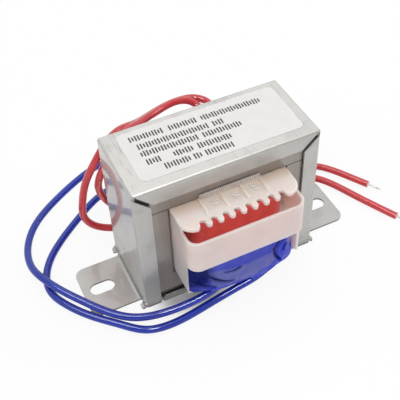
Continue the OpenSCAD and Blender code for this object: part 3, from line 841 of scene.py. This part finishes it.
def tape_front(depth_y, top_z, holds_lead):
    """The taped front of the lower winding: a pillow over x and z that rounds under to the back.

    Down its face it stands out by the swells and folds, dying away in a quarter circle towards each end.
    Below, another quarter circle carries it under, then it runs back to the core and up.
    """
    left_edge, right_edge = 1.2, 1.6
    tuck = 1.4
    narrowing = 2.0
    end_r, more_r = 0.4, 1.7
    back_y = CORE_Y + 0.6
    back_top = WINDOW_Z + 0.1
    across = np.linspace(0.0, 1.0, 170)[None]
    foot_z = film_foot(FILM_LEFT + (FILM_RIGHT - FILM_LEFT) * across, holds_lead)
    under_r = end_r + more_r * np.sqrt(np.sin(np.pi * across))
    down = np.linspace(0.0, 1.0, 80)[:, None]
    z = top_z + (foot_z + under_r - top_z) * down
    x = FILM_LEFT + (FILM_RIGHT - narrowing * smooth_step(z, 15.0, 20.0) - FILM_LEFT) * across
    out = 0.06 * np.sin(1.1 * x + 0.5 * z) * np.sin(0.5 * x - 1.3 * z + 1.0)
    for line, depth, widths in TAPE_FOLDS:
        out = out + fold(x, z, line, depth, widths)
    for middle, reach, height in TAPE_SWELLS:
        out = out + swell(x, z, middle, reach, height)
    left = quarter_circle((x - FILM_LEFT) / left_edge)
    right = quarter_circle((x[:, -1:] - x) / right_edge)
    y = depth_y + np.maximum(out, 0.0) * left * right - tuck * (1.0 - right)
    turn = np.linspace(0.0, np.pi / 2, 14)[1:, None]
    under_y = y[-1:] - under_r * (1.0 - np.cos(turn))
    under_z = foot_z + under_r * (1.0 - np.sin(turn))
    run_y = under_y[-1:] + (back_y - under_y[-1:]) * np.linspace(0.0, 1.0, 8)[1:, None]
    run_z = np.broadcast_to(foot_z, run_y.shape)
    y = np.concatenate([y, under_y, run_y, run_y[-1:]])
    z = np.concatenate([z, under_z, run_z, np.maximum(foot_z, back_top)])
    x = np.concatenate([x, np.broadcast_to(x[-1:], (len(y) - len(x), x.shape[1]))])
    return np.stack([x, -y, z], axis=-1) * MM


def add_lower_tape():
    """Blue film round the lower winding: a ring inside the covers, and folded film at front and back."""
    low, high = node_box("secondary_tape")
    ring_low = np.array([low[0], low[1], WINDOW_Z])
    ring_high = high - np.array([0.0, 0.15, 0.05])

    def proud(path, height):
        x, y = path[..., 0], path[..., 1]
        return -0.03 + 0.03 * np.sin(0.5 * y + 0.7 * height) * np.sin(0.4 * x + 0.3 * height)

    film_top = high[2] - 0.1
    front = tape_front(high[1], film_top, True)
    rear = tape_front(high[1], film_top, False) * np.array([1.0, -1.0, 1.0])
    grids = [tape_ring(ring_low, ring_high, LOWER_TAPE_R, proud)]
    ring = new_piece("lower_tape_ring", grids, blue_tape)
    film = new_piece("lower_tape_film", [front[::-1], rear], blue_film, closed=False)
    corners = np.empty(3 * len(film.data.vertices))
    film.data.vertices.foreach_get("co", corners)
    x, z = corners[0::3] / MM, corners[2::3] / MM
    # Shares of painted sheen and painted shade, kept on the film's points
    for name, share in (("painted_sheen", painted_sheen(x, z)), ("painted_shade", painted_shade(x, z))):
        film.data.attributes.new(name, "FLOAT", "POINT").data.foreach_set("value", share)
    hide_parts("secondary_tape")
    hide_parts("secondary_tape")


add_upper_tape()
add_lower_tape()


# Small marks on the bobbin and the label

def add_collar_serrations():
    """Fine upright serrations on both collars: a strip whose depth follows the size of a sine over x."""
    depth = 0.14
    across = np.linspace(-BAY_HALF_W, BAY_HALF_W, 281)
    ridge = COLLAR_Y + depth * np.abs(np.sin(np.pi * across / SERRATION_PITCH))
    heights = np.array([BOBBIN_TOP, COLLAR_TOP - 0.1, COLLAR_TOP + 0.04, COLLAR_TOP + 0.04])
    share = np.array([1.0, 1.0, 0.7, 0.0])[:, None]
    grid = np.empty((4, len(across), 3))
    grid[..., 0] = across
    grid[..., 1] = -(COLLAR_BACK_Y + (ridge - COLLAR_BACK_Y) * share)
    grid[..., 2] = heights[:, None]
    rear = grid[:, ::-1] * np.array([1.0, -1.0, 1.0])
    new_piece("collar_serrations", [grid * MM, rear * MM], shaded_collar_nylon, closed=False)


def add_bay_marks():
    """Low rounded dashes in the bays of the bobbin: half ellipsoids that stand on the flange."""
    reach = np.array([1.2, 0.36, 0.36])
    dashes = ((0.2, 15.3), (0.6, 16.4))
    rise = np.linspace(0.0, np.pi / 2, 7)[:, None]
    around = np.linspace(0.0, 2 * np.pi, 20, endpoint=False)[None]
    dome = np.stack([np.cos(rise) * np.cos(around), np.cos(rise) * np.sin(around),
                     np.sin(rise) * np.ones_like(around)], axis=-1) * reach
    grids = [(dome + np.array([bay * BAY_PITCH + x, side * y, BOBBIN_TOP])) * MM
             for side in (-1, 1) for bay in (-1, 0, 1) for x, y in dashes]
    new_piece("bay_marks", grids, nylon)


# The print on the label: its turn in degrees, and for each row its place and the ends of its runs
PRINT_TURN = -1.6
PRINT_ROWS = (
    (7.1, ((-21.4, -11.2), (-9.2, -0.4), (0.9, 20.2))),
    (3.3, ((-20.2, 1.4), (3.0, 6.2))),
    (0.1, ((-20.4, -3.2), (-1.5, 10.6))),
    (-3.5, ((-20.0, -15.6), (-12.0, -6.4), (-4.6, 6.0))),
    (-7.0, ((-16.0, -8.7), (-7.3, -5.0), (-3.8, 4.6))),
)


def add_label_print():
    """Plain print on the label: rows of upright bars in runs, every third one shorter."""
    pitch = 0.88
    width = 0.46
    tall = 2.3
    short = 0.72 * tall
    thick = 0.02
    places = []
    for row_y, runs in PRINT_ROWS:
        for first, last in runs:
            x = np.arange(first, last - width / 2, pitch)
            places.append(np.stack([x, np.full_like(x, row_y)], axis=-1))
    places = np.concatenate(places)
    height = np.where(np.arange(len(places)) % 3 == 1, short, tall)
    half = np.stack([np.full(len(places), width / 2), height / 2], axis=-1)
    square = np.array([[0, 0], [1, 0], [1, 1], [0, 1]])
    pick = np.concatenate([np.insert(square, 2, level, axis=1) for level in (0, 1)])
    flat = places[:, None] + half[:, None] * (2 * pick[None, :, :2] - 1)
    turn = np.radians(PRINT_TURN)
    corners = np.empty((len(places), 8, 3))
    corners[..., 0] = np.cos(turn) * flat[..., 0] - np.sin(turn) * flat[..., 1]
    corners[..., 1] = np.sin(turn) * flat[..., 0] + np.cos(turn) * flat[..., 1]
    corners[..., 2] = node_box("label")[1][2] + thick * pick[None, :, 2]
    sides = np.array([[3, 2, 1, 0], [4, 5, 6, 7], [0, 1, 5, 4],
                      [1, 2, 6, 5], [2, 3, 7, 6], [3, 0, 4, 7]])
    faces = (8 * np.arange(len(places))[:, None, None] + sides[None]).reshape(-1, 4)
    new_mesh("label_print", corners.reshape(-1, 3) * MM, faces, ink)


add_collar_serrations()
add_bay_marks()
add_label_print()


# Floor, light and world

# Two ellipses on the floor, under the object and round it: shift in half sizes, and half sizes in a metre
CONTACT_PLACE = (0.93, 2.0, 0.0)
CONTACT_SCALE = (72.0, 143.0, 1.0)
AROUND_PLACE = (0.0, 0.0, 0.0)
AROUND_SCALE = (12.0, 20.0, 1.0)


def distance(tree, place, shift, scale):
    """The distance from the middle of an ellipse on the floor, as a share of its half sizes."""
    sockets = {"Vector": place, "Location": shift, "Scale": scale}
    centred = put(tree, "ShaderNodeMapping", sockets).outputs["Vector"]
    return put(tree, "ShaderNodeVectorMath", {0: centred}, operation="LENGTH").outputs["Value"]


def add_floor():
    """A pale floor that keeps the object's shadow and shows white to the camera and in reflections.

    More of its shadow shows under the object and close round it, by the distance from the middle of two
    ellipses, and under the object its colour is darker as a painted shadow.
    """
    reach = 4.0
    below = 0.02 * MM
    mesh = bpy.data.meshes.new("floor")
    mesh.from_pydata([(-reach, -reach, -below), (reach, -reach, -below), (reach, reach, -below),
                      (-reach, reach, -below)], [], [(0, 1, 2, 3)])
    floor = new_object("floor", mesh)
    material = bpy.data.materials.new("floor")
    material.use_nodes = True
    tree = material.node_tree
    tree.nodes.clear()
    path = put(tree, "ShaderNodeLightPath").outputs
    place = put(tree, "ShaderNodeTexCoord").outputs["Object"]
    contact = distance(tree, place, CONTACT_PLACE, CONTACT_SCALE)
    around = distance(tree, place, AROUND_PLACE, AROUND_SCALE)
    under = ramp(tree, contact, 0.5, 1.25, 0.1, 1.0)
    shown = maths(tree, "MULTIPLY", under, ramp(tree, around, 0.5, 1.5, 0.87, 0.985))
    mirrored = ramp(tree, around, 0.5, 1.6, 0.25, 0.98)
    seen = maths(tree, "MAXIMUM", path["Is Camera Ray"], path["Is Transmission Ray"])
    share = maths(tree, "MAXIMUM", maths(tree, "MULTIPLY", seen, shown),
                  maths(tree, "MULTIPLY", path["Is Glossy Ray"], mirrored))
    # Painted shadow: the floor's colour darker under the object
    tone = blend(tree, ramp(tree, contact, 0.5, 1.6), (0.55, 0.54, 0.54, 1), (0.95, 0.95, 0.95, 1))
    matt = put(tree, "ShaderNodeBsdfDiffuse", {"Color": tone})
    white = put(tree, "ShaderNodeEmission", {"Color": (1, 1, 1, 1), "Strength": 1.0})
    mix = put(tree, "ShaderNodeMixShader", {0: share, 1: matt.outputs[0], 2: white.outputs[0]})
    put(tree, "ShaderNodeOutputMaterial", {"Surface": mix.outputs[0]})
    mesh.materials.append(material)


LAMP_AIM = (0.0, 0.0, 0.02)


def add_area_light(name, place, size, power, lights=True, shines=True):
    """A square soft lamp at a place, turned to the aim point, in metres and watts.

    It lights surfaces, shows in their gloss as a highlight, or does both.
    """
    data = bpy.data.lights.new(name, "AREA")
    data.shape = "SQUARE"
    data.size = size
    data.energy = power
    lamp = new_object(name, data)
    lamp.visible_diffuse = lights
    lamp.visible_glossy = shines
    side, down, ahead = square_frame(np.array(LAMP_AIM) - np.array(place))
    turn = np.eye(4)
    turn[:3, 0] = side
    turn[:3, 1] = -down
    turn[:3, 2] = -ahead
    turn[:3, 3] = place
    lamp.matrix_world = Matrix(turn.tolist())


# The world's level as a light, and how much dimmer its reflection is high in front
SOFT_LEVEL = 0.5
CEILING_DIM = 0.6


def set_world():
    """A pale world that lights softly and shows white to the camera.

    In reflections it is white overhead, behind and round the horizon, and dim high in front.
    """
    world = bpy.data.worlds.new("studio")
    bpy.context.scene.world = world
    world.use_nodes = True
    tree = world.node_tree
    tree.nodes.clear()
    path = put(tree, "ShaderNodeLightPath").outputs
    ray = maths(tree, "MAXIMUM", path["Is Camera Ray"], path["Is Glossy Ray"], path["Is Transmission Ray"])
    heading = put(tree, "ShaderNodeTexCoord").outputs["Generated"]
    axes = split(tree, heading)
    in_front = ramp(tree, axes["Y"], -0.1, -0.4)
    high_up = ramp(tree, axes["Z"], 0.15, 0.4)
    dim = maths(tree, "MULTIPLY", in_front, high_up, path["Is Glossy Ray"], CEILING_DIM)
    shown = maths(tree, "SUBTRACT", 1.0 - SOFT_LEVEL, dim)
    level = maths(tree, "ADD", maths(tree, "MULTIPLY", ray, shown), SOFT_LEVEL)
    sky = put(tree, "ShaderNodeBackground", {"Color": (1, 1, 1, 1), "Strength": level})
    put(tree, "ShaderNodeOutputWorld", {"Surface": sky.outputs[0]})


add_floor()
add_area_light("top_lamp", (0.0, -0.1, 0.85), 0.7, 0.9)
add_area_light("front_lamp", (-0.24, -0.52, 0.6), 0.6, 2.0, shines=False)
add_area_light("fold_gloss_lamp", (0.215, -0.08, 0.77), 0.35, 0.5, lights=False)
add_area_light("high_gloss_lamp", (-0.38, 0.04, 0.76), 0.35, 3.1, lights=False)
add_area_light("lead_gloss_lamp", (-0.14, -0.36, 0.76), 0.2, 3.8, lights=False)
add_area_light("right_lamp", (0.66, -0.1, 0.48), 0.3, 1.3)
add_area_light("back_lamp", (0.18, 0.48, 0.65), 0.7, 0.75)
set_world()
bpy.context.scene.view_settings.view_transform = "Standard"
